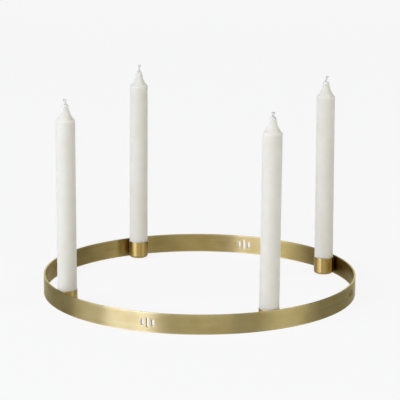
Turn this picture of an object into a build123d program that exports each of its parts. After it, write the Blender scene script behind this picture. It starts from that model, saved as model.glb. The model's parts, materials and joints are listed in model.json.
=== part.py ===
from build123d import *

import os
from math import cos, degrees, radians, sin, sqrt, tan

# Advent candle holder: a slotted brass hoop that stands on its edge, four drawn
# candle cups brazed to its inner face, and four dinner candles that lift out.
# Millimetres and degrees, +Z up, origin on the hoop's axis at the surface that it stands on.

# Hoop, a flat strip rolled on edge and closed with a butt joint
HOOP_DIAMETER = 360.0
HOOP_HEIGHT = 22.0
HOOP_THICKNESS = 2.0
HOOP_EDGE_BREAK = 0.3

# Slots, punched through the strip in groups: a tall one between two short ones
SLOT_GROUPS = 4
SLOT_WIDTH = 3.0
SLOT_PITCH = 6.0
TALL_SLOT_LENGTH = 11.6
SHORT_SLOT_LENGTH = 7.2

# Candle, a moulded dinner candle with a slight draft and an ogee tip
CANDLE_DIAMETER = 22.0
CANDLE_SHOULDER_DIAMETER = 21.4
CANDLE_TIP_LENGTH = 18.4
CANDLE_NECK_DIAMETER = 7.7
CANDLE_NECK_TAPER = 3.0
CANDLE_NOSE_LENGTH = 3.3

# Cup, drawn from thin sheet, open at the top
CUP_WALL = 0.5
CUP_FLOOR = 0.8
CUP_CORNER_RADIUS = 3.0
CUP_INSET = 1.0
CANDLE_CLEARANCE = 0.06
FOOT_CLEARANCE = 0.2

# Braze, one seam of filler metal between each cup and the hoop
BRAZE_GAP = 0.15
BRAZE_HALF_WIDTH = 3.2
BRAZE_INSET = 1.0
BRAZE_HOLLOW = 0.15

# Wick, plaited cotton through the whole candle, with a flat frayed stub above the wax
WICK_DIAMETER = 1.8
WICK_STUB_WIDTH = 2.6
WICK_STUB_THICKNESS = 1.5
WICK_BEND_SHARE = 0.25

# Cup places, as the bearing from +X in degrees, anticlockwise seen from above.
# Each candle has its own length of shaft, up to the shoulder. Its wick stub is given
# by its height, its lean from upright, the bearing that it leans towards and the
# width of its frayed end.
PLACES = {
    "front_left": {"bearing": 225.0, "shaft": 211.1, "stub": 5.6, "lean": 8.0, "towards": 198.0, "fray": 4.3},
    "front_right": {"bearing": 315.0, "shaft": 212.1, "stub": 4.5, "lean": 6.0, "towards": 18.0, "fray": 3.8},
    "back_right": {"bearing": 45.0, "shaft": 213.2, "stub": 5.9, "lean": 17.0, "towards": 18.0, "fray": 3.6},
    "back_left": {"bearing": 135.0, "shaft": 212.4, "stub": 7.4, "lean": 8.0, "towards": 18.0, "fray": 3.2},
}

# Sizes that follow from those above
hoop_outer_radius = HOOP_DIAMETER / 2
hoop_inner_radius = hoop_outer_radius - HOOP_THICKNESS
hoop_middle_radius = hoop_outer_radius - HOOP_THICKNESS / 2

cup_bore_radius = CANDLE_DIAMETER / 2 + CANDLE_CLEARANCE
cup_radius = cup_bore_radius + CUP_WALL
cup_inner_corner = CUP_CORNER_RADIUS - CUP_WALL
cup_bottom_z = CUP_INSET
cup_rim_z = HOOP_HEIGHT - CUP_INSET
cup_floor_z = cup_bottom_z + CUP_FLOOR
cup_centre_radius = hoop_inner_radius - BRAZE_GAP - cup_radius

candle_foot_bevel = cup_inner_corner + FOOT_CLEARANCE
wick_radius = WICK_DIAMETER / 2


def make_hoop():
    """Plain ring with broken edges, and each slot punched square to the strip at its own bearing."""
    with BuildPart() as hoop:
        with BuildSketch():
            Circle(hoop_outer_radius)
            Circle(hoop_inner_radius, mode=Mode.SUBTRACT)
        extrude(amount=HOOP_HEIGHT)
        chamfer(hoop.edges().filter_by(GeomType.CIRCLE), HOOP_EDGE_BREAK)
        pitch_angle = degrees(SLOT_PITCH / hoop_middle_radius)
        for group in range(SLOT_GROUPS):
            for step, length in ((-1, SHORT_SLOT_LENGTH), (0, TALL_SLOT_LENGTH), (1, SHORT_SLOT_LENGTH)):
                bearing = radians(group * 360 / SLOT_GROUPS + step * pitch_angle)
                outwards = Vector(cos(bearing), sin(bearing), 0)
                mid_height = outwards * hoop_middle_radius + Vector(0, 0, HOOP_HEIGHT / 2)
                with BuildSketch(Plane(mid_height, x_dir=(0, 0, 1), z_dir=outwards)):
                    SlotOverall(length, SLOT_WIDTH)
                extrude(amount=HOOP_THICKNESS, both=True, mode=Mode.SUBTRACT)
    return hoop.part


def make_cup():
    """Drawn cup turned about its own axis: a floor, a rounded corner, a straight wall and a trimmed rim."""
    outer_corner_x = cup_radius - CUP_CORNER_RADIUS
    outer_corner_z = cup_bottom_z + CUP_CORNER_RADIUS
    inner_corner_x = cup_bore_radius - cup_inner_corner
    inner_corner_z = cup_floor_z + cup_inner_corner
    with BuildPart() as cup:
        with BuildSketch(Plane.XZ):
            with BuildLine():
                Line((0, cup_bottom_z), (outer_corner_x, cup_bottom_z))
                CenterArc((outer_corner_x, outer_corner_z), CUP_CORNER_RADIUS, -90, 90)
                Line((cup_radius, outer_corner_z), (cup_radius, cup_rim_z))
                Line((cup_radius, cup_rim_z), (cup_bore_radius, cup_rim_z))
                Line((cup_bore_radius, cup_rim_z), (cup_bore_radius, inner_corner_z))
                CenterArc((inner_corner_x, inner_corner_z), cup_inner_corner, 0, -90)
                Line((inner_corner_x, cup_floor_z), (0, cup_floor_z))
                Line((0, cup_floor_z), (0, cup_bottom_z))
            make_face()
        revolve(axis=Axis.Z)
    return cup.part


def make_braze_seam():
    """Filler that wets the cup's wall and the hoop's inner face, drawn where the cup lies on the +X side."""
    cup_end = cup_centre_radius + sqrt(cup_radius**2 - BRAZE_HALF_WIDTH**2)
    hoop_end = sqrt(hoop_inner_radius**2 - BRAZE_HALF_WIDTH**2)
    end_middle = (cup_end + hoop_end) / 2
    hollow_width = BRAZE_HALF_WIDTH - BRAZE_HOLLOW
    bottom_z = cup_bottom_z + CUP_CORNER_RADIUS + BRAZE_INSET
    top_z = cup_rim_z - BRAZE_INSET
    with BuildPart() as seam:
        with BuildSketch(Plane.XY.offset(bottom_z)):
            with BuildLine():
                ThreePointArc(
                    (cup_end, -BRAZE_HALF_WIDTH),
                    (cup_centre_radius + cup_radius, 0),
                    (cup_end, BRAZE_HALF_WIDTH),
                )
                ThreePointArc(
                    (cup_end, BRAZE_HALF_WIDTH), (end_middle, hollow_width), (hoop_end, BRAZE_HALF_WIDTH)
                )
                ThreePointArc(
                    (hoop_end, BRAZE_HALF_WIDTH), (hoop_inner_radius, 0), (hoop_end, -BRAZE_HALF_WIDTH)
                )
                ThreePointArc(
                    (hoop_end, -BRAZE_HALF_WIDTH), (end_middle, -hollow_width), (cup_end, -BRAZE_HALF_WIDTH)
                )
            make_face()
        extrude(amount=top_z - bottom_z)
    return seam.part


def make_candle(shaft):
    """Wax turned about its own axis: bevelled foot, drafted shaft, hollow sweep and rounded nose."""
    foot_radius = CANDLE_DIAMETER / 2
    shoulder_radius = CANDLE_SHOULDER_DIAMETER / 2
    neck_radius = CANDLE_NECK_DIAMETER / 2
    foot_inner = (foot_radius - candle_foot_bevel, cup_floor_z)
    foot_outer = (foot_radius, cup_floor_z + candle_foot_bevel)
    shoulder_z = cup_floor_z + shaft
    tip_z = shoulder_z + CANDLE_TIP_LENGTH
    shoulder = (shoulder_radius, shoulder_z)
    neck = (neck_radius, tip_z - CANDLE_NOSE_LENGTH)
    tip = (wick_radius, tip_z)
    taper_in = sin(radians(CANDLE_NECK_TAPER))
    taper_up = cos(radians(CANDLE_NECK_TAPER))
    with BuildPart() as candle:
        with BuildSketch(Plane.XZ):
            with BuildLine():
                Line((wick_radius, cup_floor_z), foot_inner)
                Line(foot_inner, foot_outer)
                Line(foot_outer, shoulder)
                TangentArc(neck, shoulder, tangent=(taper_in, -taper_up))
                TangentArc(neck, tip, tangent=(-taper_in, taper_up))
                Line(tip, (wick_radius, cup_floor_z))
            make_face()
        revolve(axis=Axis.Z)
    return candle.part


def make_wick(shaft, stub, lean, towards, fray):
    """Round core through the wax, then a stub that flattens, bends to its lean and widens to a frayed end."""
    heading = Vector(cos(radians(towards)), sin(radians(towards)), 0)
    upright = Vector(0, 0, 1)
    axis = heading * sin(radians(lean)) + upright * cos(radians(lean))
    length = shaft + CANDLE_TIP_LENGTH
    bend_height = stub * WICK_BEND_SHARE
    root = upright * (cup_floor_z + length)
    bend = root + upright * bend_height + heading * (bend_height * tan(radians(lean / 2)))
    end = bend + axis * (stub - bend_height)
    with BuildPart() as wick:
        with BuildSketch(Plane.XY.offset(cup_floor_z)):
            Circle(wick_radius)
        extrude(amount=length)
        with BuildSketch(Plane(root, x_dir=heading, z_dir=upright)) as root_section:
            Circle(wick_radius)
        broad = heading - axis * heading.dot(axis)
        with BuildSketch(Plane(bend, x_dir=broad, z_dir=axis)) as bend_section:
            Ellipse(WICK_STUB_WIDTH / 2, WICK_STUB_THICKNESS / 2)
        with BuildSketch(Plane(end, x_dir=broad, z_dir=axis)) as end_section:
            Ellipse(fray / 2, WICK_STUB_THICKNESS / 2)
        loft([root_section.sketch, bend_section.sketch, end_section.sketch], ruled=True)
    return wick.part


os.makedirs("parts", exist_ok=True)
nodes = {"hoop": make_hoop()}
cup = make_cup()
seam = make_braze_seam()
for name, place in PLACES.items():
    turn = Rot(0, 0, place["bearing"])
    seat = Pos(
        cup_centre_radius * cos(radians(place["bearing"])),
        cup_centre_radius * sin(radians(place["bearing"])),
        0,
    )
    candle = make_candle(place["shaft"])
    wick = make_wick(place["shaft"], place["stub"], place["lean"], place["towards"], place["fray"])
    nodes["candle_cup_" + name] = seat * cup
    nodes["braze_seam_" + name] = turn * seam
    nodes["candle_" + name] = seat * candle
    nodes["wick_" + name] = seat * wick

for name, solid in nodes.items():
    export_step(solid, "parts/" + name + ".step")
print(len(nodes), "nodes, candle feet at", cup_floor_z, "mm")
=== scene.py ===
import json
from math import atan2, ceil, cos, degrees, pi, radians, sin, sqrt, tan, tau
from typing import NamedTuple

import bpy
import numpy as np
from bpy.props import FloatProperty, FloatVectorProperty, IntProperty, PointerProperty
from bpy.types import Operator, Panel, PropertyGroup
from mathutils import Matrix, Vector

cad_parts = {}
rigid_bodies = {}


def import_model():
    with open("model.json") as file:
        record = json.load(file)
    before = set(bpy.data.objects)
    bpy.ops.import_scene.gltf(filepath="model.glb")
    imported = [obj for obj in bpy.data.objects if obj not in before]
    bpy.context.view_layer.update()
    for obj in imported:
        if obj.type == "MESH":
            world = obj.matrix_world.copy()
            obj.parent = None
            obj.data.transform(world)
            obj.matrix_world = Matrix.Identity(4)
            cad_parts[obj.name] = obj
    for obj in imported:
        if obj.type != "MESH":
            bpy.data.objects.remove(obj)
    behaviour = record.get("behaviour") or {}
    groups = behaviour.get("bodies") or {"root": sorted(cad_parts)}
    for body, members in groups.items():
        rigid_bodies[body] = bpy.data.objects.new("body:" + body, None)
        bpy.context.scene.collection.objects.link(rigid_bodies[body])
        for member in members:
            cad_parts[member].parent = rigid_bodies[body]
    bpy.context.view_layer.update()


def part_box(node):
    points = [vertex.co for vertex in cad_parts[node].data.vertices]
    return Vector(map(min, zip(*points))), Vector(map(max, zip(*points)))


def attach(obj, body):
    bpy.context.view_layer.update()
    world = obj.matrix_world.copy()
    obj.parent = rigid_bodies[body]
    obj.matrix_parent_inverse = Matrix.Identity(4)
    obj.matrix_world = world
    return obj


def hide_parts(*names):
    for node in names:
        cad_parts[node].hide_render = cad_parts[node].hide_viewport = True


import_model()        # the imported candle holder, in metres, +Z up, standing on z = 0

bl_info = {
    "name": "Advent Candle Holder",
    "version": (1, 0, 0),
    "blender": (4, 5, 0),
    "location": "View3D > Sidebar > Candle Holder",
    "description": "Finishes a slotted brass hoop, its four candle cups, dinner candles and wicks",
    "category": "Object",
}

MM = 0.001
PLACES = ("front_left", "front_right", "back_right", "back_left")
UV_NAME = "along_and_across"
WEAR_AND_SHADE_NAME = "edge_wear"

# Each candle leans a little in its cup: how far its top stands off to the camera's right.
LEANS = {
    "front_left": -0.1 * MM,
    "front_right": 1.4 * MM,
    "back_right": -1.2 * MM,
    "back_left": 1.0 * MM,
}

# CAD sizes are read to this step, which hides their facets.
SIZE_STEP = 0.02 * MM

# Points of neighbouring patches that are closer than this are one point.
WELD_DISTANCE = 0.001 * MM

# Keeps a division by a length of nothing finite.
TINY = 1e-12


# Settings

def linear(hex_colour):
    """An sRGB hex colour as linear red, green and blue by the standard's curve, with alpha 1."""
    channels = np.array([int(hex_colour[i:i + 2], 16) for i in (0, 2, 4)]) / 255
    dark = channels / 12.92
    light = ((channels + 0.055) / 1.055) ** 2.4
    return (*np.where(channels <= 0.04045, dark, light).tolist(), 1.0)


def length(name, description, metres):
    """A length that a user can change."""
    return FloatProperty(
        name=name, description=description, default=metres, min=0, unit="LENGTH", precision=5
    )


def bearing(name, description, angle):
    """An angle that a user can change, given in degrees."""
    return FloatProperty(name=name, description=description, default=radians(angle), unit="ROTATION")


def colour(name, description, hex_colour):
    """A colour that a user can change, given as sRGB hex."""
    return FloatVectorProperty(
        name=name, description=description, default=linear(hex_colour), size=4, min=0, max=1, subtype="COLOR"
    )


def amount(name, description, value):
    """A plain number that a user can change."""
    return FloatProperty(name=name, description=description, default=value, min=0)


def rounded_size(node, axis):
    """Size of a CAD node along one axis, to the nearest step."""
    low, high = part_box(node)
    return round((high[axis] - low[axis]) / SIZE_STEP) * SIZE_STEP


class HoopSettings(PropertyGroup):
    """Sizes and colours of the slotted hoop."""
    diameter: length("Diameter", "Outer diameter of the hoop", rounded_size("hoop", 0))
    height: length("Height", "Height of the strip", rounded_size("hoop", 2))
    thickness: length("Thickness", "Thickness of the strip", 2.0 * MM)
    edge_round: length("Edge round", "Radius that tumbling leaves on every edge", 0.25 * MM)
    slot_width: length("Slot width", "Width of every slot", 3.0 * MM)
    slot_pitch: length("Slot pitch", "Spacing of the slots in a group", 6.0 * MM)
    tall_slot: length("Tall slot", "Length of the middle slot of a group", 11.6 * MM)
    short_slot: length("Short slot", "Length of the outer slots of a group", 7.2 * MM)
    groups: IntProperty(name="Slot groups", description="Groups of slots round the hoop", default=4, min=1)
    joint_bearing: bearing("Joint", "Bearing of the strip's butt joint, behind a cup", 135)
    brush_width: length("Brush line", "Width of a brush line, drawn coarse enough to show", 0.5 * MM)
    brush_length: length("Brush stroke", "Length of a brush line along the strip", 70 * MM)
    band_width: length("Band width", "Width of a broad band of like lines", 4.1667 * MM)
    band_length: length("Band length", "Length of a band along the strip", 175 * MM)
    band_share: amount("Band share", "Share that the bands have in the brushing", 0.45)
    patina_width: length("Patina width", "Width of a patch of patina", 16 * MM)
    patina_length: length("Patina length", "Length of a patch along the strip", 26.667 * MM)
    patina_strength: amount("Patina strength", "Strength of the patches of patina", 0.5)
    # Painted shade: this darkens and warms the whole inner face, standing in for shade and brass reflecting
    # brass.
    inner_face_shade: amount("Inner patina", "Strength of the patina all over the inner face", 0.6)
    brass: colour("Brass", "Colour of the brushed brass", "998C61")
    shade: colour("Brass shade", "Colour between the brush lines", "8D7F55")
    # This tint colours real patina in patches, and painted shade all over the inner face.
    patina_and_shade: colour("Patina", "Tint of the patina, in patches and all over the inner face", "E6DDC4")
    edge: colour("Edge", "Colour of the rubbed edges", "AFA173")
    # The slot walls' colour is painted shade: dark brown stands in for the shade inside the slots.
    slot_wall_shade: colour("Punched face", "Colour of the dull walls of the slots", "7D6837")
    glancing: colour("Glancing tint", "Tint of the brass where it is seen edge on", "E1DDCC")


class CupSettings(PropertyGroup):
    """Sizes and colours of the drawn cups."""
    wall: length("Wall", "Thickness of the drawn wall", 0.5 * MM)
    base: length("Base", "Thickness of the base", 0.8 * MM)
    corner: length("Corner", "Outer radius round the base", 3.0 * MM)
    ring_width: length("Turning ring", "Width of a turning mark, drawn coarse enough to show", 0.4 * MM)
    ring_length: length("Ring length", "How far a turning mark runs before it changes", 48 * MM)
    brass: colour("Brass", "Colour of the turned brass", "A28A54")
    shade: colour("Brass shade", "Colour of the duller rings", "937B45")


class SeamSettings(PropertyGroup):
    """Colours of the brazed seams."""
    patch: length("Patch", "Size of a patch of scale", 1.5 * MM)
    filler: colour("Filler", "Colour of the bright filler metal", "B99A5C")
    scale: colour("Scale", "Colour of the heat scale on it", "6B4F2A")


class CandleSettings(PropertyGroup):
    """Sizes and colours of the dinner candles."""
    shoulder_diameter: length("Shoulder", "Diameter at the shoulder", 21.4 * MM)
    shoulder_round: length("Shoulder round", "Radius that the mould leaves on the shoulder", 1.2 * MM)
    tip_length: length("Tip", "Length from the shoulder to the top of the wax", 18.4 * MM)
    neck_diameter: length("Neck", "Diameter where the sweep meets the nose", 7.7 * MM)
    neck_taper: bearing("Neck taper", "Lean of the wax at the neck", 3)
    nose_length: length("Nose", "Length of the rounded nose", 3.3 * MM)
    foot_bevel: length("Foot bevel", "Bevel round the foot", 2.7 * MM)
    wander: length("Wander", "How far the cast surface strays from true", 0.05 * MM)
    cloud_size: length("Cloud size", "Size of a cloudy patch", 14 * MM)
    grain_size: length("Grain", "Size of the faint grain, drawn coarse enough to show", 0.9 * MM)
    free_path: length("Free path", "How far light goes in the wax between two scatters", 0.8 * MM)
    wax: colour("Wax", "Colour of the wax", "DAD7CB")
    cloud: colour("Cloud", "Colour of the faintly cloudy patches", "D7D3C6")


class WickSettings(PropertyGroup):
    """Sizes and colours of the wicks."""
    diameter: length("Diameter", "Diameter of the plait", 1.8 * MM)
    plait_width: length("Plait width", "Width of the flat plait just above the wax", 2.6 * MM)
    plait_pitch: length("Plait pitch", "Length of one turn of the plait", 3.2 * MM)
    thread_length: length("Thread length", "Length of a thread that shows in a strand", 1.6 * MM)
    thread_width: length("Thread width", "Width of a thread in a strand", 0.22 * MM)
    fibre: length("Fibre", "Thickness of a loose tuft of fibres", 0.24 * MM)
    fibres: IntProperty(name="Fibres", description="Loose tufts at the frayed end", default=70, min=0)
    cotton: colour("Cotton", "Colour of the waxed cotton", "DEDCD6")
    # The hollow colour is painted shade between the threads.
    hollow_shade: colour("Hollow", "Colour between the threads", "B8B6AF")


class StageSettings(PropertyGroup):
    """Camera, floor and lamps."""
    camera_distance: length("Camera distance", "Camera's distance from the hoop's axis", 2.1676)
    camera_height: length("Camera height", "Camera's height above the floor", 0.6038)
    camera_bearing: bearing("Camera bearing", "Turn of the camera round the hoop", 18)
    camera_pitch: bearing("Camera pitch", "Tilt of the camera below level", 12.917)
    camera_roll: bearing("Camera roll", "Turn of the camera about its own line of sight", 0.284)
    lens: amount("Lens", "Focal length in millimetres on a sensor 36 mm wide", 174.36)
    floor: colour("Floor", "Colour of the floor and the surroundings", "F6F6F6")
    floor_glow: amount("Floor glow", "Brightness of the floor as seen, where 1 is its own colour", 0.95)
    floor_shadow: colour("Floor shadow", "Colour of the faint layer that carries the shadow", "505050")
    lamp_distance: length("Lamp distance", "Distance of the lamps from the hoop's axis", 4.6)
    key: amount("Key lamp", "Brightness of the main lamp on the camera's left, where 1 is white", 7.3)
    front: amount("Front lamp", "Brightness of the lamp above the camera", 2.3)
    fill: amount("Fill lamp", "Brightness of the lamp on the camera's right", 2.9)
    backdrop: amount("Backdrop lamp", "Brightness of the broad lamp behind the hoop", 1.8)
    card_distance: length("Card distance", "Distance of the middle of each card from the hoop's axis", 0.8)
    card_height: length("Card height", "Height of the cards, which lean over the hoop like a tent", 1.0)
    spill_card: amount("Spill card", "Brightness of the card on the camera's far left", 4.7)
    key_card: amount("Key card", "Brightness of the card under the key lamp", 9.9)
    near_card: amount("Near card", "Brightness of the card between it and the camera", 11.3)
    front_card: amount("Front card", "Brightness of the wide card round the camera", 1.66)
    gap_card: amount("Gap card", "Brightness of the narrow card beside it", 0.93)
    strip_card: amount("Strip card", "Brightness of the card on the camera's right", 2.05)
    key_tint: colour("Key tint", "Colour of the key lamp and the spill card", "EDF2FF")
    card_tint: colour("Card tint", "Colour of the two brightest cards", "C8CEFF")
    ambient: amount("Ambient", "Strength of the light from all round", 0.05)


# Surfaces

class Patch(NamedTuple):
    """A surface on a grid of two parameters, as arrays of rows by columns.

    Wear is 1 at a rubbed edge and dies away from it. Above 1 it marks the wall of a slot, where shade is
    painted.
    """
    points: np.ndarray
    normals: np.ndarray
    uv: np.ndarray
    wear_and_slot_shade: np.ndarray = None


def unit(vectors):
    """Vectors scaled to length 1."""
    return vectors / np.maximum(np.linalg.norm(vectors, axis=-1, keepdims=True), TINY)


def grid(*channels):
    """Channels of a surface, each spread over the whole grid, side by side."""
    return np.stack(np.broadcast_arrays(*channels), axis=-1)


def travelled(path):
    """Distance gone along a path at each of its points."""
    return np.concatenate(([0], np.cumsum(np.linalg.norm(np.diff(path, axis=0), axis=1))))


def outward_quads(patch):
    """Corner numbers of each cell of a patch, in the order that turns its faces to its normals' side."""
    rows, columns = patch.points.shape[:2]
    number = np.arange(rows * columns).reshape(rows, columns)
    quads = grid(number[:-1, :-1], number[:-1, 1:], number[1:, 1:], number[1:, :-1]).reshape(-1, 4)
    corners = patch.points.reshape(-1, 3)[quads]
    facing = np.cross(corners[:, 2] - corners[:, 0], corners[:, 3] - corners[:, 1])
    agreement = np.sum(facing * patch.normals.reshape(-1, 3)[quads].sum(axis=1))
    return quads if agreement > 0 else quads[:, ::-1]


def make_piece(name, patches, material, body, node):
    """Welds patches into one closed mesh, which stands for a CAD node, rides its body and takes its slot.

    Points that coincide become one. A cell with two corners at one point, as at a pole, becomes a triangle.
    """
    def joined(field, width):
        """One field of all the patches, end to end."""
        return np.concatenate([getattr(patch, field).reshape(-1, width) for patch in patches])

    points = joined("points", 3)
    starts = np.cumsum([0] + [patch.points[..., 0].size for patch in patches[:-1]])
    quads = np.concatenate([outward_quads(patch) + start for patch, start in zip(patches, starts)])
    cells = np.round(points / WELD_DISTANCE).astype(np.int64)
    first, shared = np.unique(cells, axis=0, return_index=True, return_inverse=True)[1:]
    corners = shared.reshape(-1)[quads]
    kept = corners != np.roll(corners, -1, axis=1)
    kept &= (kept.sum(axis=1) > 2)[:, None]
    sizes = kept.sum(axis=1)
    sizes = sizes[sizes > 0]

    mesh = bpy.data.meshes.new(name)
    mesh.vertices.add(len(first))
    mesh.vertices.foreach_set("co", points[first].astype(np.float32).ravel())
    mesh.loops.add(int(sizes.sum()))
    mesh.loops.foreach_set("vertex_index", corners[kept].astype(np.int32))
    mesh.polygons.add(len(sizes))
    mesh.polygons.foreach_set("loop_start", (np.cumsum(sizes) - sizes).astype(np.int32))
    mesh.polygons.foreach_set("use_smooth", np.ones(len(sizes), dtype=bool))
    mesh.update(calc_edges=True)
    uv = joined("uv", 2)[quads[kept]].astype(np.float32)
    mesh.uv_layers.new(name=UV_NAME).uv.foreach_set("vector", uv.ravel())
    if patches[0].wear_and_slot_shade is not None:
        wear_and_slot_shade = joined("wear_and_slot_shade", 1)[first].astype(np.float32)
        mesh.attributes.new(WEAR_AND_SHADE_NAME, "FLOAT", "POINT").data.foreach_set("value", wear_and_slot_shade.ravel())
    if mesh.validate():
        raise RuntimeError(f"the mesh of {name} has faults")
    normals = unit(joined("normals", 3)[first])
    mesh.normals_split_custom_set_from_vertices(normals.tolist())
    mesh.materials.append(material)

    piece = bpy.data.objects.new(name, mesh)
    bpy.context.scene.collection.objects.link(piece)
    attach(piece, body)
    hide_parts(node)


def line(start, end, count):
    """Straight stroke of an outline in equal steps: rows of radius, height and the normal on its right."""
    start, end = np.array(start), np.array(end)
    along = unit(end - start)
    points = start + np.linspace(0, 1, count + 1)[:, None] * (end - start)
    return np.hstack((points, np.tile((along[1], -along[0]), (count + 1, 1))))


def arc(centre, radius, start, end, count):
    """Round stroke of an outline in equal steps between two angles in degrees, as rows like a line's.

    It bulges where it goes anticlockwise and is hollow where it goes clockwise.
    """
    angle = np.radians(np.linspace(start, end, count + 1))
    outwards = np.stack((np.cos(angle), np.sin(angle)), axis=1)
    return np.hstack((np.array(centre) + radius * outwards, outwards * np.sign(end - start)))


def turned(strokes, axis, sides):
    """Surface of revolution: the outline's point (r, z) goes round to (x + r cos a, y + r sin a, z)."""
    outline = np.concatenate(strokes)
    radius, height, normal_out, normal_up = (outline[:, i, None] for i in range(4))
    angle = np.linspace(0, tau, sides + 1)[None, :]
    points = grid(axis[0] + radius * np.cos(angle), axis[1] + radius * np.sin(angle), height)
    normals = grid(normal_out * np.cos(angle), normal_out * np.sin(angle), normal_up)
    uv = grid(angle * radius.max(), travelled(outline[:, :2])[:, None])
    return Patch(points, normals, uv)


def tube(path, radius, sides, across):
    """Rings square to a path: its point p goes round to p + r (cos a side + sin a rise).

    Side and rise are square to the path and to each other. Rings of no radius close the ends.
    """
    along = unit(np.gradient(path, axis=0))
    side = unit(np.cross(along, across))
    rise = np.cross(side, along)
    angle = np.linspace(0, tau, sides + 1)[None, :, None]
    ring = np.cos(angle) * side[:, None] + np.sin(angle) * rise[:, None]
    points = path[:, None] + radius[:, None, None] * ring
    normals = ring.copy()
    normals[0] = -along[0]
    normals[-1] = along[-1]
    uv = grid(travelled(path)[:, None], angle[..., 0] * radius.max())
    return Patch(points, normals, uv)


# Materials

# Noise lies mostly between these values, so reading it between them brings out its light and dark.
NOISE_SPAN = (0.3, 0.7)

# A quarter turn sets the smear of a reflection square to the lines that cause it.
ACROSS_LINES = 0.25

# The two colour inputs of a Mix node, which share their names with its number inputs.
COLOUR_A = 6
COLOUR_B = 7


def add(tree, kind, inputs=None, **settings):
    """Adds a node, sets its properties, and sets its inputs or links them to a socket or a node's result."""
    node = tree.nodes.new(kind)
    for name, value in settings.items():
        setattr(node, name, value)
    for key, value in (inputs or {}).items():
        if isinstance(value, bpy.types.Node):
            value = next(socket for socket in value.outputs if socket.enabled)
        if isinstance(value, bpy.types.NodeSocket):
            tree.links.new(value, node.inputs[key])
        else:
            node.inputs[key].default_value = value
    return node


def new_material(name):
    """An empty material and its node tree."""
    material = bpy.data.materials.new(name)
    material.use_nodes = True
    material.node_tree.nodes.clear()
    return material, material.node_tree


def two_tone(tree, pattern, span, first, second):
    """How far a pattern has gone through a span of values, and the colour that far from first to second."""
    share = add(tree, "ShaderNodeMapRange", {"Value": pattern, "From Min": span[0], "From Max": span[1]})
    skin = add(tree, "ShaderNodeMix", {
        "Factor": share, COLOUR_A: first, COLOUR_B: second,
    }, data_type="RGBA")
    return share, skin


def brushed_brass(settings):
    """Satin brass strip, brushed lengthwise.

    The eye gets lines along the strip, reflections that smear up and down, faint patina, pale rubbed edges,
    painted shade on the walls of the slots, and painted shade with a warm cast all over the inner face. The
    lines are drawn coarser than real ones, so that they show.
    """
    material, tree = new_material("brushed_brass")
    uv = add(tree, "ShaderNodeUVMap", uv_map=UV_NAME)
    patterns = []
    for along, across, detail, roughness in (
        (settings.brush_length, settings.brush_width, 4, 0.65),
        (settings.band_length, settings.band_width, 2, 0.5),
        (settings.patina_length, settings.patina_width, 3, 0.55),
    ):
        place = add(tree, "ShaderNodeMapping", {"Vector": uv, "Scale": (1 / along, 1 / across, 1)})
        patterns.append(add(tree, "ShaderNodeTexNoise", {
            "Vector": place, "Scale": 1, "Detail": detail, "Roughness": roughness,
        }))
    lines, bands, patches = patterns
    streaks = add(tree, "ShaderNodeMix", {"Factor": settings.band_share, "A": lines, "B": bands})
    tone, face = two_tone(tree, streaks, NOISE_SPAN, settings.shade, settings.brass)

    # In the UV map the inner face lies above the outer one, with the edge's thickness between them.
    # That picks out the whole inner face for painted shade with a warm cast, as from brass reflecting brass.
    patchy = add(tree, "ShaderNodeMapRange", {
        "Value": patches, "From Min": 0.4, "From Max": 0.7, "To Max": settings.patina_strength,
    })
    inner_shade = add(tree, "ShaderNodeMapRange", {
        "Value": add(tree, "ShaderNodeSeparateXYZ", {0: uv}).outputs["Y"],
        "From Min": settings.height,
        "From Max": settings.height + settings.thickness,
        "To Max": settings.inner_face_shade,
    })
    # Real patina in patches, plus painted shade over the inner face.
    patina_and_inner_shade = add(tree, "ShaderNodeMath", {0: patchy, 1: inner_shade}, operation="ADD")
    aged_and_shaded = add(tree, "ShaderNodeMix", {
        "Factor": patina_and_inner_shade, COLOUR_A: face, COLOUR_B: settings.patina_and_shade,
    }, data_type="RGBA", blend_type="MULTIPLY")

    # Wear up to 1 rubs the edges bright, and wear above 1 marks the walls of the slots, which take a dark
    # colour as painted shade.
    wear_and_slot_shade = add(tree, "ShaderNodeAttribute", attribute_name=WEAR_AND_SHADE_NAME).outputs["Fac"]
    rubbed = add(tree, "ShaderNodeMath", {0: wear_and_slot_shade, 1: tone}, operation="MULTIPLY")
    bright = add(tree, "ShaderNodeMix", {
        "Factor": rubbed, COLOUR_A: aged_and_shaded, COLOUR_B: settings.edge,
    }, data_type="RGBA")
    # The walls of the slots take a dark colour, which is painted shade.
    slot_wall_shade, skin = two_tone(tree, wear_and_slot_shade, (1.0, 1.5), bright, settings.slot_wall_shade)

    between_lines, on_lines, in_slots = 0.42, 0.35, 0.52
    satin = add(tree, "ShaderNodeMapRange", {"Value": tone, "To Min": between_lines, "To Max": on_lines})
    gloss = add(tree, "ShaderNodeMix", {"Factor": slot_wall_shade, "A": satin, "B": in_slots})
    relief = add(tree, "ShaderNodeBump", {"Height": lines, "Strength": 0.25, "Distance": 0.02 * MM})
    shader = add(tree, "ShaderNodeBsdfPrincipled", {
        "Base Color": skin,
        "Metallic": 1.0,
        "Specular Tint": settings.glancing,
        "Roughness": gloss,
        "Anisotropic": 0.97,
        "Anisotropic Rotation": ACROSS_LINES,
        "Tangent": add(tree, "ShaderNodeTangent", direction_type="UV_MAP", uv_map=UV_NAME),
        "Normal": relief,
    })
    add(tree, "ShaderNodeOutputMaterial", {"Surface": shader})
    return material


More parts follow.
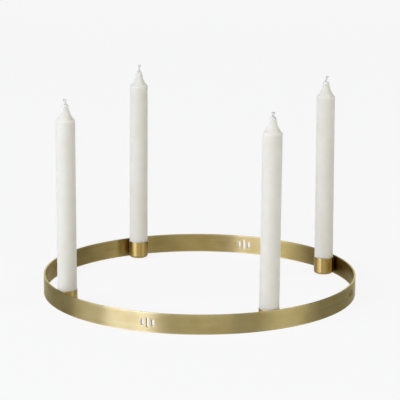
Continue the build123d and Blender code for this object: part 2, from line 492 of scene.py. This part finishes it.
def turned_brass(settings):
    """Deep drawn brass, skimmed in a lathe.

    The eye gets a warmer gold than the strip, rings round the wall and an upright highlight. The rings are
    drawn coarser than real ones, so that they show.
    """
    material, tree = new_material("turned_brass")
    ring_scale = (1 / settings.ring_length, 1 / settings.ring_width, 1)
    uv = add(tree, "ShaderNodeUVMap", uv_map=UV_NAME)
    place = add(tree, "ShaderNodeMapping", {"Vector": uv, "Scale": ring_scale})
    rings = add(tree, "ShaderNodeTexNoise", {"Vector": place, "Scale": 1, "Detail": 3, "Roughness": 0.6})
    tone, skin = two_tone(tree, rings, NOISE_SPAN, settings.shade, settings.brass)
    between_rings, on_rings = 0.36, 0.29
    gloss = add(tree, "ShaderNodeMapRange", {"Value": tone, "To Min": between_rings, "To Max": on_rings})
    relief = add(tree, "ShaderNodeBump", {"Height": rings, "Strength": 0.2, "Distance": 0.015 * MM})
    shader = add(tree, "ShaderNodeBsdfPrincipled", {
        "Base Color": skin,
        "Metallic": 1.0,
        "Roughness": gloss,
        "Anisotropic": 0.93,
        "Anisotropic Rotation": ACROSS_LINES,
        "Tangent": add(tree, "ShaderNodeTangent", direction_type="UV_MAP", uv_map=UV_NAME),
        "Normal": relief,
    })
    add(tree, "ShaderNodeOutputMaterial", {"Surface": shader})
    return material


def braze_filler(settings):
    """Brass braze filler as it froze.

    The eye gets a dull, slightly lumpy gold with brown heat scale in patches.
    """
    material, tree = new_material("braze_filler")
    place = add(tree, "ShaderNodeTexCoord").outputs["Object"]
    patches = add(tree, "ShaderNodeTexNoise", {
        "Vector": place, "Scale": 1 / settings.patch, "Detail": 4, "Roughness": 0.6,
    })
    scaled, skin = two_tone(tree, patches, (0.45, 0.65), settings.filler, settings.scale)
    on_filler, on_scale = 0.38, 0.62
    gloss = add(tree, "ShaderNodeMapRange", {"Value": scaled, "To Min": on_filler, "To Max": on_scale})
    relief = add(tree, "ShaderNodeBump", {"Height": patches, "Strength": 0.4, "Distance": 0.08 * MM})
    shader = add(tree, "ShaderNodeBsdfPrincipled", {
        "Base Color": skin,
        "Metallic": 1.0,
        "Roughness": gloss,
        "Normal": relief,
    })
    add(tree, "ShaderNodeOutputMaterial", {"Surface": shader})
    return material


def moulded_wax(settings):
    """Paraffin wax from a polished mould.

    The eye gets a soft ivory glow with light under the skin, faint clouds and a dull sheen.
    """
    material, tree = new_material("moulded_wax")
    place = add(tree, "ShaderNodeTexCoord").outputs["Object"]
    clouds = add(tree, "ShaderNodeTexNoise", {
        "Vector": place, "Scale": 1 / settings.cloud_size, "Detail": 3, "Roughness": 0.55,
    })
    grain = add(tree, "ShaderNodeTexNoise", {
        "Vector": place, "Scale": 1 / settings.grain_size, "Detail": 2, "Roughness": 0.5,
    })
    skin = two_tone(tree, clouds, (0.35, 0.7), settings.wax, settings.cloud)[1]
    on_clear, on_clouds = 0.72, 0.88
    gloss = add(tree, "ShaderNodeMapRange", {"Value": clouds, "To Min": on_clear, "To Max": on_clouds})
    relief = add(tree, "ShaderNodeBump", {"Height": grain, "Strength": 0.05, "Distance": 0.03 * MM})
    # The renderer divides the scale by 4 pi to get the free path, so it is multiplied by that here.
    shader = add(tree, "ShaderNodeBsdfPrincipled", {
        "Base Color": skin,
        "Roughness": gloss,
        "IOR": 1.44,
        "Subsurface Weight": 1.0,
        "Subsurface Radius": (1.0, 0.95, 0.85),
        "Subsurface Scale": 4 * pi * settings.free_path,
        "Normal": relief,
    })
    add(tree, "ShaderNodeOutputMaterial", {"Surface": shader})
    return material


def waxed_cotton(settings):
    """Plaited cotton yarn dipped in wax.

    The eye gets off-white threads with painted grey shade in the hollows between them, and a dull waxy
    bloom.
    """
    material, tree = new_material("waxed_cotton")
    thread_scale = (1 / settings.thread_length, 1 / settings.thread_width, 1)
    uv = add(tree, "ShaderNodeUVMap", uv_map=UV_NAME)
    place = add(tree, "ShaderNodeMapping", {"Vector": uv, "Scale": thread_scale})
    threads = add(tree, "ShaderNodeTexNoise", {"Vector": place, "Scale": 1, "Detail": 2, "Roughness": 0.6})
    skin = two_tone(tree, threads, (0.3, 0.65), settings.hollow_shade, settings.cotton)[1]
    in_hollows, on_threads = 0.85, 0.6
    gloss = add(tree, "ShaderNodeMapRange", {"Value": threads, "To Min": in_hollows, "To Max": on_threads})
    relief = add(tree, "ShaderNodeBump", {"Height": threads, "Strength": 0.5, "Distance": 0.08 * MM})
    shader = add(tree, "ShaderNodeBsdfPrincipled", {
        "Base Color": skin,
        "Roughness": gloss,
        "Sheen Weight": 0.25,
        "Normal": relief,
    })
    add(tree, "ShaderNodeOutputMaterial", {"Surface": shader})
    return material


def paper_floor(settings):
    """Matte paper sweep, lit to a plain pale grey.

    The camera and reflections see an even tone, with the object's shadow faintly on it.
    """
    material, tree = new_material("paper_floor")
    path = add(tree, "ShaderNodeLightPath").outputs
    seen = add(tree, "ShaderNodeMath", {
        0: path["Is Camera Ray"], 1: path["Is Glossy Ray"],
    }, operation="MAXIMUM")
    shown = add(tree, "ShaderNodeMath", {0: seen, 1: path["Is Transmission Ray"]}, operation="MAXIMUM")
    glow = add(tree, "ShaderNodeEmission", {"Color": settings.floor, "Strength": settings.floor_glow})
    shadow_catch = add(tree, "ShaderNodeBsdfDiffuse", {"Color": settings.floor_shadow})
    pale = add(tree, "ShaderNodeAddShader", {0: glow, 1: shadow_catch})
    paper = add(tree, "ShaderNodeBsdfDiffuse", {"Color": settings.floor})
    mixed = add(tree, "ShaderNodeMixShader", {0: shown, 1: paper, 2: pale})
    add(tree, "ShaderNodeOutputMaterial", {"Surface": mixed})
    return material


# Hoop

# The strip's grid: rows from edge to edge, columns over a slot's pitch, and the length of a plain column.
STRIP_ROWS = 15
SLOT_COLUMNS = 7
COLUMN_LENGTH = 1.6 * MM

# Steps in the round of an edge, and rings of faces round a slot.
EDGE_STEPS = 4
SLOT_RINGS = 4

# How far the rubbing of an edge reaches into the face beside it.
WEAR_REACH = 0.5 * MM


class Strip(NamedTuple):
    """The flat strip before rolling, and how it is rolled into the hoop."""
    outer_radius: float
    height: float
    thickness: float
    edge_round: float
    start: float

    @property
    def middle_radius(self):
        """Radius at which the strip keeps its flat length."""
        return self.outer_radius - self.thickness / 2

    def rolled(self, along, up, depth, normal, wear_and_slot_shade):
        """Rolls points of the flat strip into the hoop.

        A point at distance along, height up and depth below the outer face goes to the bearing
        start + along / middle radius, at the radius outer radius - depth. The normal's three shares
        are along, up and out of the strip. In the UV map the inner face lies above the outer one.
        """
        along, up, depth, wear_and_slot_shade = np.broadcast_arrays(along, up, depth, wear_and_slot_shade)
        angle = self.start + along / self.middle_radius
        out = grid(np.cos(angle), np.sin(angle), 0)
        ahead = grid(-np.sin(angle), np.cos(angle), 0)
        upright = np.array((0, 0, 1))
        points = out * (self.outer_radius - depth)[..., None] + upright * up[..., None]
        shares = [np.broadcast_to(share, angle.shape)[..., None] for share in normal]
        normals = ahead * shares[0] + upright * shares[1] + out * shares[2]
        across = up + depth * (1 + self.height / self.thickness)
        return Patch(points, normals, grid(along, across), wear_and_slot_shade)

    def edge_outline(self):
        """Across an edge from the outer to the inner face: a quarter round, a flat and a quarter round.

        Rows of distance in from the edge, depth below the outer face, and the normal's shares
        towards the edge and out of the strip.
        """
        turn = np.linspace(0, pi / 2, EDGE_STEPS + 1)
        outer = np.stack((
            self.edge_round * (1 - np.sin(turn)),
            self.edge_round * (1 - np.cos(turn)),
            np.sin(turn),
            np.cos(turn),
        ), axis=1)
        inner = outer[::-1] * (1, -1, 1, -1) + (0, self.thickness, 0, 0)
        return np.concatenate((outer, inner)).T[..., None]

    def faces(self, along, up, wear_and_slot_shade):
        """The outer and the inner face over the same stretch of the strip."""
        outer = self.rolled(along, up, 0, (0, 0, 1), wear_and_slot_shade)
        inner = self.rolled(along, up, self.thickness, (0, 0, -1), wear_and_slot_shade)
        return [outer, inner]

    def rim_wear(self, up):
        """Wear that dies away from the strip's long edges."""
        from_edge = np.minimum(up, self.height - up) - self.edge_round
        return np.exp(-from_edge / WEAR_REACH)

    def plain_stretch(self, along, up):
        """A stretch of the strip with no slots, as a grid of distances along and heights."""
        heights = np.broadcast_to(up, (len(along), len(up)))
        return self.faces(along[:, None], heights, self.rim_wear(heights))

    def rims(self, along):
        """The top and the bottom edge, all the way round."""
        inset, depth, towards, out = self.edge_outline()
        top = self.rolled(along, self.height - inset, depth, (0, towards, out), 1.0)
        bottom = self.rolled(along, inset, depth, (0, -towards, out), 1.0)
        return [top, bottom]


def slot_outline(rays_along, rays_up, half_straight, radius):
    """Where rays from a slot's centre cross its outline, two straight sides with round ends.

    A ray crosses a side at the share radius / |along| of its length. Beyond the straight part it
    crosses the end's circle instead. Returns the crossing and the outline's outward normal there.
    """
    side = radius / np.maximum(np.abs(rays_along), TINY)
    centre = np.sign(rays_up) * half_straight
    length_squared = rays_along ** 2 + rays_up ** 2
    towards = rays_up * centre
    root = np.sqrt(np.maximum(towards ** 2 - length_squared * (half_straight ** 2 - radius ** 2), 0))
    share = np.where(np.abs(side * rays_up) <= half_straight, side, (towards + root) / length_squared)
    along, up = share * rays_along, share * rays_up
    normal_up = (up - np.clip(up, -half_straight, half_straight)) / radius
    return along, up, along / radius, normal_up


def slot_patches(strip, centre, pitch, up, along, half_straight, radius):
    """The strip's faces round one slot and the slot's wall.

    Rays go from the slot's centre to points round a rectangle. A ring of the faces cuts each ray at one
    share of the way from the slot's outline to the rectangle. The wall carries the edge's outline round.
    """
    middle = strip.height / 2
    right = np.full(len(up), pitch / 2)
    across = along - centre
    rim = np.full(len(across), middle - strip.edge_round)
    rays_along = np.concatenate((right, across[::-1][1:], -right[1:], across[1:]))
    rays_up = np.concatenate((up - middle, rim[1:], (up - middle)[::-1][1:], -rim[1:]))
    inner_along, inner_up = slot_outline(rays_along, rays_up, half_straight, radius + strip.edge_round)[:2]
    share = np.linspace(0, 1, SLOT_RINGS + 1)[:, None]
    face_along = inner_along + share * (rays_along - inner_along)
    face_up = middle + inner_up + share * (rays_up - inner_up)
    from_slot = np.hypot(face_along - inner_along, face_up - middle - inner_up)
    wear_and_slot_shade = np.maximum(np.exp(-from_slot / WEAR_REACH), strip.rim_wear(face_up))

    inset, depth, towards, out = strip.edge_outline()
    wall_along, wall_up, normal_along, normal_up = slot_outline(
        rays_along, rays_up, half_straight, radius + inset
    )
    normal = (-normal_along * towards, -normal_up * towards, out)
    wall = strip.rolled(centre + wall_along, middle + wall_up, depth, normal, 1 + towards)
    return strip.faces(centre + face_along, face_up, wear_and_slot_shade) + [wall]


def hoop_patches(settings):
    """The whole hoop: plain stretches, slot groups midway between the cups, and two rims."""
    strip = Strip(
        outer_radius=settings.diameter / 2,
        height=settings.height,
        thickness=settings.thickness,
        edge_round=settings.edge_round,
        start=settings.joint_bearing,
    )
    pitch = settings.slot_pitch
    slots = ((-1, settings.short_slot), (0, settings.tall_slot), (1, settings.short_slot))
    half_group = len(slots) / 2 * pitch
    round_length = tau * strip.middle_radius
    group_length = round_length / settings.groups
    first_group = ((-settings.joint_bearing) % (tau / settings.groups)) * strip.middle_radius
    up = np.linspace(settings.edge_round, settings.height - settings.edge_round, STRIP_ROWS)
    patches = []
    edges = [np.zeros(1)]

    def add_plain(start, end):
        """A stretch with no slots from one distance along the strip to another."""
        along = np.linspace(start, end, ceil((end - start) / COLUMN_LENGTH) + 1)
        patches.extend(strip.plain_stretch(along, up))
        edges.append(along[1:])

    reached = 0.0
    for group in range(settings.groups):
        group_centre = first_group + group * group_length
        add_plain(reached, group_centre - half_group)
        for step, slot_length in slots:
            centre = group_centre + step * pitch
            along = np.linspace(centre - pitch / 2, centre + pitch / 2, SLOT_COLUMNS)
            half_straight = (slot_length - settings.slot_width) / 2
            patches += slot_patches(strip, centre, pitch, up, along, half_straight, settings.slot_width / 2)
            edges.append(along[1:])
        reached = group_centre + half_group
    add_plain(reached, round_length)
    return patches + strip.rims(np.concatenate(edges)[None, :])


# Cups and candles

CUP_SIDES = 128
CANDLE_SIDES = 96

# Slow waves in the cast wax: how many there are, how often each goes round the candle, from the first number
# to below the second, how long it is, and the height above the cup over which the waves set in.
WAVES = 5
WAVE_TURNS = (1, 5)
WAVE_LENGTHS = (15 * MM, 90 * MM)
WAVE_RISE = 20 * MM


def centre_of(node):
    """Upright axis of a turned CAD node, as x and y."""
    low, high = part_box(node)
    return (low.x + high.x) / 2, (low.y + high.y) / 2


def cup_strokes(settings, bottom, rim, radius):
    """Outline of a cup from the middle of its underside, over the rim, to the middle of its floor.

    The last number of each stroke is its count of steps.
    """
    bore = radius - settings.wall
    floor = bottom + settings.base
    inner_corner = settings.corner - settings.wall
    lip = settings.wall / 2
    outer_x, outer_z = radius - settings.corner, bottom + settings.corner
    inner_x, inner_z = bore - inner_corner, floor + inner_corner
    return (
        line((0, bottom), (outer_x, bottom), 4),
        arc((outer_x, outer_z), settings.corner, -90, 0, 12),
        line((radius, outer_z), (radius, rim - lip), 10),
        arc((radius - lip, rim - lip), lip, 0, 180, 8),
        line((bore, rim - lip), (bore, inner_z), 10),
        arc((inner_x, inner_z), inner_corner, 0, -90, 8),
        line((inner_x, floor), (0, floor), 4),
    )


def candle_strokes(settings, foot, tip, foot_radius, wick_radius):
    """Outline of a candle: foot, bevel, drafted shaft, round shoulder, hollow sweep, nose and wick bore.

    The sweep and the nose are arcs that share a tangent at the neck. An arc that leaves a point with the
    normal n and passes through a place v away from it has the radius |v|^2 / (2 v.n). The shoulder's round
    touches the shaft and the sweep. The last number of each stroke is its count of steps.
    """
    taper = degrees(settings.neck_taper)
    normal = np.array((cos(settings.neck_taper), sin(settings.neck_taper)))
    neck = np.array((settings.neck_diameter / 2, tip - settings.nose_length))
    shoulder = np.array((settings.shoulder_diameter / 2, tip - settings.tip_length))
    to_shoulder = shoulder - neck
    sweep = to_shoulder @ to_shoulder / (2 * to_shoulder @ normal)
    sweep_centre = neck + sweep * normal
    to_wick = np.array((wick_radius, tip)) - neck
    nose = -to_wick @ to_wick / (2 * to_wick @ normal)
    nose_centre = neck - nose * normal
    nose_end = degrees(atan2(tip - nose_centre[1], wick_radius - nose_centre[0]))
    blend = settings.shoulder_round
    blend_x = shoulder[0] - blend
    blend_reach = sweep_centre[0] - blend_x
    blend_drop = sqrt((sweep + blend) ** 2 - blend_reach ** 2)
    blend_centre = (blend_x, sweep_centre[1] - blend_drop)
    blend_angle = degrees(atan2(blend_drop, blend_reach))
    bevel = settings.foot_bevel
    return (
        line((wick_radius, foot), (foot_radius - bevel, foot), 3),
        line((foot_radius - bevel, foot), (foot_radius, foot + bevel), 4),
        line((foot_radius, foot + bevel), (shoulder[0], blend_centre[1]), 60),
        arc(blend_centre, blend, 0, blend_angle, 8),
        arc(sweep_centre, sweep, 180 + blend_angle, 180 + taper, 24),
        arc(nose_centre, nose, taper, nose_end, 14),
        line((wick_radius, tip), (wick_radius, foot), 30),
    )


def leaning(patches, place):
    """Shifts a candle's points to the camera's right in proportion to their height above the cup's rim."""
    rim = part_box("candle_cup_" + place)[1].z
    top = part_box("candle_" + place)[1].z
    turn = bpy.context.scene.holder_stage.camera_bearing
    aside = LEANS[place] / (top - rim) * np.array((cos(turn), sin(turn), 0))
    return [
        patch._replace(points=patch.points + aside * np.maximum(patch.points[..., 2:] - rim, 0))
        for patch in patches
    ]


def cast(patch, wander, steady_below, seed):
    """Lets a turned surface stray from true by a few slow waves round and along it, above a given height.

    A point moves out along its normal by wander times the mean of sin(k a + m z + phase) over the waves.
    """
    random = np.random.default_rng(seed)
    height = patch.points[..., 2]
    angle = np.linspace(0, tau, height.shape[1])[None, :]
    rise = np.clip((height - steady_below) / WAVE_RISE, 0, 1)
    turns = random.integers(*WAVE_TURNS, WAVES)
    lengths = random.uniform(*WAVE_LENGTHS, WAVES)
    phase = random.uniform(0, tau, WAVES)
    waves = np.sin(turns * angle[..., None] + tau * height[..., None] / lengths + phase).mean(axis=-1)
    points = patch.points + patch.normals * (wander * rise * waves)[..., None]
    return patch._replace(points=points)


# Wicks

CORE_SIDES = 16
STRAND_SIDES = 10
TUFT_SIDES = 5
STRANDS = 3

# The CAD wick's end face lies above this share of its stub.
END_SHARE = 0.75

# The core's foot is closed within the first height, and its head runs to a point over the second.
CORE_FOOT = 0.01 * MM
CORE_POINT = 0.2 * MM

# How far down in the wax the strands start, and their steps there and in the stub.
STRAND_ROOT = 1.0 * MM
ROOT_STEPS = 3
STUB_STEPS = 40

# Shares of the stub's height: where its upright start bends, where the plait is flat, where it loosens.
KNEE_SHARE = 0.4
FLAT_SHARE = 0.25
LOOSE_SHARE = 0.4

# A strand's radius as a share of the core's, how much of it is lost to the fray, and what its end keeps.
STRAND_SHARE = 0.6
FRAY_LOSS = 0.25
END_KEEP = 0.75

# A tuft: the shares of the stub between which it starts, how far out in the plait it starts and how far
# through the plait it ends, both as shares, the rise of its tip, its curl, and its thickness on the way.
TUFT_START = (0.3, 0.7)
TUFT_OUT = 0.8
TUFT_THROUGH = 0.6
TUFT_RISE = (-0.6 * MM, 0.25 * MM)
TUFT_CURL = 0.12 * MM
TUFT_TAPER = np.array((0, 1, 1, 1, 0.9, 0.8, 0.6, 0))


def wick_patches(settings, node, candle_node, seed):
    """A core through the wax, three plaited strands above it that splay at the end, and loose tufts.

    Strand i runs at sin(p) across and sin(2p) / 2 through the plait, with p = turns + i / 3, times the
    plait's half width, which grows from the wax to the frayed end. The stub's end is the middle of the CAD
    wick's end face, so both lean alike.
    """
    random = np.random.default_rng(seed)
    low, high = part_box(candle_node)
    upright = np.array((0, 0, 1))
    axis = np.array([*centre_of(candle_node), 0])
    vertices = np.array([vertex.co for vertex in bpy.data.objects[node].data.vertices])
    top = vertices[vertices[:, 2] > high.z + END_SHARE * (vertices[:, 2].max() - high.z)]
    end = (top.min(axis=0) + top.max(axis=0)) / 2
    outwards = (top - end) * (1, 1, 0)
    spreads = np.linalg.norm(outwards, axis=1)
    spread = spreads.max()
    reach = unit(outwards[np.argmax(spreads)])
    through = np.cross(reach, upright)
    radius = settings.diameter / 2

    def bent(share):
        """Middle line of the stub: a quadratic curve that starts upright."""
        root = axis + high.z * upright
        knee = root + KNEE_SHARE * (end[2] - high.z) * upright
        share = np.asarray(share)[:, None]
        return (1 - share) ** 2 * root + 2 * share * (1 - share) * knee + share ** 2 * end

    def half_width(share):
        """Half the plait's width: the core's at the wax, the flat plait's above it, then out to the fray."""
        return np.interp(share, (0, FLAT_SHARE, 1), (radius, settings.plait_width / 2, spread))

    core_heights = np.array((low.z, low.z + CORE_FOOT, high.z, high.z + CORE_POINT))
    core_radius = np.array((0, 1, 1, 0)) * radius
    core_path = axis + core_heights[:, None] * upright
    patches = [tube(core_path, core_radius, CORE_SIDES, np.array((1.0, 0, 0)))]

    sunk = np.linspace(-STRAND_ROOT, 0, ROOT_STEPS + 1)[:-1]
    share = np.linspace(0, 1, STUB_STEPS)
    middle = np.concatenate((axis + (high.z + sunk)[:, None] * upright, bent(share)))
    share = np.concatenate((0 * sunk, share))
    travel = travelled(middle)
    loosened = np.clip((share - LOOSE_SHARE) / (1 - LOOSE_SHARE), 0, 1)[:, None]
    strand_radius = STRAND_SHARE * radius
    across = half_width(share)[:, None] - strand_radius
    for strand in range(STRANDS):
        phase = tau * (travel / settings.plait_pitch + strand / STRANDS)[:, None]
        plait = np.sin(phase) * across * reach + np.sin(2 * phase) / 2 * (radius - strand_radius) * through
        splay = (strand - 1) * across * reach
        path = middle + (1 - loosened) * plait + loosened * splay
        taper = strand_radius * (1 - FRAY_LOSS * loosened[:, 0])
        taper[[0, -1]] = 0
        taper[-2] *= END_KEEP
        patches.append(tube(path, taper, STRAND_SIDES, through))

    tuft_share = np.linspace(0, 1, len(TUFT_TAPER))[:, None]
    for side in random.uniform(-1, 1, settings.fibres):
        start = random.uniform(*TUFT_START)
        root = bent([start])[0] + reach * side * half_width(start) * TUFT_OUT
        tip = end + reach * side * spread + through * random.uniform(-TUFT_THROUGH, TUFT_THROUGH) * radius
        tip = tip + random.uniform(*TUFT_RISE) * upright
        curl = random.normal(0, TUFT_CURL, 3)
        path = root + (tip - root) * tuft_share + curl * np.sin(pi * tuft_share)
        patches.append(tube(path, settings.fibre / 2 * TUFT_TAPER, TUFT_SIDES, through))
    return patches


# Operators

class CANDLEHOLDER_OT_hoop(Operator):
    """Rolls the slotted strip into a hoop with brushed faces and rounded edges"""
    bl_idname = "candle_holder.make_hoop"
    bl_label = "Make Hoop"

    def execute(self, context):
        settings = context.scene.holder_hoop
        patches = hoop_patches(settings)
        make_piece("brass_hoop", patches, brushed_brass(settings), "holder", "hoop")
        return {"FINISHED"}


class CANDLEHOLDER_OT_cups(Operator):
    """Turns the four drawn cups"""
    bl_idname = "candle_holder.make_cups"
    bl_label = "Make Cups"

    def execute(self, context):
        settings = context.scene.holder_cup
        material = turned_brass(settings)
        for place in PLACES:
            node = "candle_cup_" + place
            low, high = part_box(node)
            strokes = cup_strokes(settings, low.z, high.z, rounded_size(node, 0) / 2)
            patch = turned(strokes, centre_of(node), CUP_SIDES)
            make_piece("brass_cup_" + place, [patch], material, "holder", node)
        return {"FINISHED"}


class CANDLEHOLDER_OT_seams(Operator):
    """Gives the four brazed seams their filler metal"""
    bl_idname = "candle_holder.finish_seams"
    bl_label = "Finish Seams"

    def execute(self, context):
        material = braze_filler(context.scene.holder_seam)
        for place in PLACES:
            seam = bpy.data.objects["braze_seam_" + place]
            seam.data.materials.clear()
            seam.data.materials.append(material)
        return {"FINISHED"}


class CANDLEHOLDER_OT_candles(Operator):
    """Casts the four dinner candles"""
    bl_idname = "candle_holder.make_candles"
    bl_label = "Make Candles"

    def execute(self, context):
        settings = context.scene.holder_candle
        wick_radius = context.scene.holder_wick.diameter / 2
        material = moulded_wax(settings)
        for seed, place in enumerate(PLACES):
            node = "candle_" + place
            low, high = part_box(node)
            cup_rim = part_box("candle_cup_" + place)[1].z
            strokes = candle_strokes(settings, low.z, high.z, rounded_size(node, 0) / 2, wick_radius)
            patch = turned(strokes, centre_of(node), CANDLE_SIDES)
            patches = leaning([cast(patch, settings.wander, cup_rim, seed)], place)
            make_piece("wax_candle_" + place, patches, material, place + "_candle", node)
        return {"FINISHED"}


class CANDLEHOLDER_OT_wicks(Operator):
    """Plaits the four wicks and frays their ends"""
    bl_idname = "candle_holder.make_wicks"
    bl_label = "Make Wicks"

    def execute(self, context):
        settings = context.scene.holder_wick
        material = waxed_cotton(settings)
        for seed, place in enumerate(PLACES):
            node = "wick_" + place
            patches = leaning(wick_patches(settings, node, "candle_" + place, seed), place)
            make_piece("cotton_wick_" + place, patches, material, place + "_candle", node)
        return {"FINISHED"}


# Stage

# The floor is a wide disc just under the hoop.
FLOOR_RADIUS = 25.0
FLOOR_DROP = 0.1 * MM
FLOOR_SIDES = 96

# The camera's sensor in millimetres, and the nearest and farthest distance that it shows, in metres.
SENSOR_WIDTH = 36
NEAREST = 0.05
FARTHEST = 100


def around(bearing_angle, elevation, distance):
    """A place seen from the hoop's axis, with bearing 0 towards -Y and +X to its right."""
    level = distance * cos(elevation)
    return Vector((level * sin(bearing_angle), -level * cos(bearing_angle), distance * sin(elevation)))


def add_lamp(name, place, width, height, brightness, tint):
    """A soft rectangular lamp that faces the hoop.

    One of area A that looks as bright as L gives off pi A L watts.
    """
    lamp = bpy.data.lights.new(name, "AREA")
    lamp.shape = "RECTANGLE"
    lamp.size = width
    lamp.size_y = height
    lamp.energy = pi * width * height * brightness
    lamp.color = tint
    thing = bpy.data.objects.new(name, lamp)
    thing.location = place
    thing.rotation_euler = (-place).to_track_quat("-Z", "Y").to_euler()
    thing.visible_camera = False
    bpy.context.scene.collection.objects.link(thing)
    return thing


class CANDLEHOLDER_OT_stage(Operator):
    """Sets the floor, the lamps, the surroundings and the camera"""
    bl_idname = "candle_holder.set_stage"
    bl_label = "Set Stage"

    def execute(self, context):
        settings = context.scene.holder_stage
        self.set_floor(context, settings)
        self.set_light(context, settings)
        self.set_camera(context, settings)
        return {"FINISHED"}

    def set_floor(self, context, settings):
        """A disc: points go round to (r cos a, r sin a) at one height."""
        angle = np.linspace(0, tau, FLOOR_SIDES, endpoint=False)
        rim = grid(FLOOR_RADIUS * np.cos(angle), FLOOR_RADIUS * np.sin(angle), -FLOOR_DROP)
        mesh = bpy.data.meshes.new("floor")
        mesh.from_pydata(rim.tolist(), [], [list(range(FLOOR_SIDES))])
        mesh.materials.append(paper_floor(settings))
        floor = bpy.data.objects.new("floor", mesh)
        context.scene.collection.objects.link(floor)

    def place(self, settings, angle, elevation, distance):
        """Where a lamp stands, at an angle round from the camera and an elevation, both in degrees."""
        return around(settings.camera_bearing + radians(angle), radians(elevation), distance)

    def set_light(self, context, settings):
        """Soft lamps that light everything, a tent of cards that only gloss shows, and dim surroundings.

        The lamps stand in front, on both sides and behind, the brightest on the camera's left. The cards
        stand side by side, each from one angle round from the camera to another, and lean over the hoop.
        """
        white = (1, 1, 1)
        cool = settings.key_tint[:3]
        cooler = settings.card_tint[:3]
        # Name, angle round from the camera, elevation, width, height, brightness and colour
        lamps = (
            ("key_lamp", -52, 28, 3.4, 2.4, settings.key, cool),
            ("front_lamp", 5, 35, 3.0, 2.4, settings.front, white),
            ("fill_lamp", 76, 36, 3.0, 3.0, settings.fill, white),
            ("backdrop_lamp", 180, 14, 6.0, 2.2, settings.backdrop, white),
        )
        for name, angle, elevation, width, height, brightness, tint in lamps:
            place = self.place(settings, angle, elevation, settings.lamp_distance)
            add_lamp(name, place, width, height, brightness, tint)
        # Name, first and last angle round from the camera, brightness and colour
        cards = (
            ("spill_card", -96.5, -69, settings.spill_card, cool),
            ("key_card", -69, -45, settings.key_card, cooler),
            ("near_card", -45, -30.2, settings.near_card, cooler),
            ("front_card", -30.2, 25, settings.front_card, white),
            ("gap_card", 25, 38.8, settings.gap_card, white),
            ("strip_card", 38.8, 80, settings.strip_card, white),
        )
        lift = degrees(atan2(settings.card_height / 2, settings.card_distance))
        middle_distance = settings.card_distance / cos(radians(lift))
        for name, start, end, brightness, tint in cards:
            width = 2 * settings.card_distance * tan(radians(end - start) / 2)
            place = self.place(settings, (start + end) / 2, lift, middle_distance)
            card = add_lamp(name, place, width, settings.card_height, brightness, tint)
            card.visible_diffuse = False
        world = bpy.data.worlds.new("studio")
        world.use_nodes = True
        tree = world.node_tree
        tree.nodes.clear()
        glow = add(tree, "ShaderNodeBackground", {"Color": settings.floor, "Strength": settings.ambient})
        add(tree, "ShaderNodeOutputWorld", {"Surface": glow})
        context.scene.world = world

    def set_camera(self, context, settings):
        """The camera looks level across the hoop's axis, then tilts down and rolls a little."""
        turn = Matrix.Rotation(settings.camera_bearing, 4, "Z")
        stand = Matrix.Translation((0, -settings.camera_distance, settings.camera_height))
        tilt = Matrix.Rotation(pi / 2 - settings.camera_pitch, 4, "X")
        roll = Matrix.Rotation(settings.camera_roll, 4, "Z")
        data = bpy.data.cameras.new("camera")
        data.sensor_width = SENSOR_WIDTH
        data.lens = settings.lens
        data.clip_start = NEAREST
        data.clip_end = FARTHEST
        camera = bpy.data.objects.new("camera", data)
        camera.matrix_world = turn @ stand @ tilt @ roll
        context.scene.collection.objects.link(camera)
        context.scene.camera = camera
        context.scene.view_settings.view_transform = "Standard"


# Panel and registration

class CANDLEHOLDER_PT_panel(Panel):
    """Lists the settings and the steps that build the candle holder"""
    bl_idname = "CANDLEHOLDER_PT_panel"
    bl_label = "Candle Holder"
    bl_space_type = "VIEW_3D"
    bl_region_type = "UI"
    bl_category = "Candle Holder"

    def draw(self, context):
        for name, group, operator in STEPS:
            box = self.layout.box()
            for setting in group.__annotations__:
                box.prop(getattr(context.scene, name), setting)
            box.operator(operator.bl_idname)


# Each step: the name of its settings in the scene, their class and its operator
STEPS = (
    ("holder_hoop", HoopSettings, CANDLEHOLDER_OT_hoop),
    ("holder_cup", CupSettings, CANDLEHOLDER_OT_cups),
    ("holder_seam", SeamSettings, CANDLEHOLDER_OT_seams),
    ("holder_candle", CandleSettings, CANDLEHOLDER_OT_candles),
    ("holder_wick", WickSettings, CANDLEHOLDER_OT_wicks),
    ("holder_stage", StageSettings, CANDLEHOLDER_OT_stage),
)
CLASSES = (*(item for step in STEPS for item in step[1:]), CANDLEHOLDER_PT_panel)


def register():
    """Adds the classes, and the settings to the scene."""
    for item in CLASSES:
        bpy.utils.register_class(item)
    for name, group, operator in STEPS:
        setattr(bpy.types.Scene, name, PointerProperty(type=group))


def unregister():
    """Takes away what register adds."""
    for name, group, operator in STEPS:
        delattr(bpy.types.Scene, name)
    for item in reversed(CLASSES):
        bpy.utils.unregister_class(item)


def main():
    """Registers the add-on and runs its steps in order."""
    register()
    bpy.ops.candle_holder.make_hoop()
    bpy.ops.candle_holder.make_cups()
    bpy.ops.candle_holder.finish_seams()
    bpy.ops.candle_holder.make_candles()
    bpy.ops.candle_holder.make_wicks()
    bpy.ops.candle_holder.set_stage()


if __name__ == "__main__":
    main()
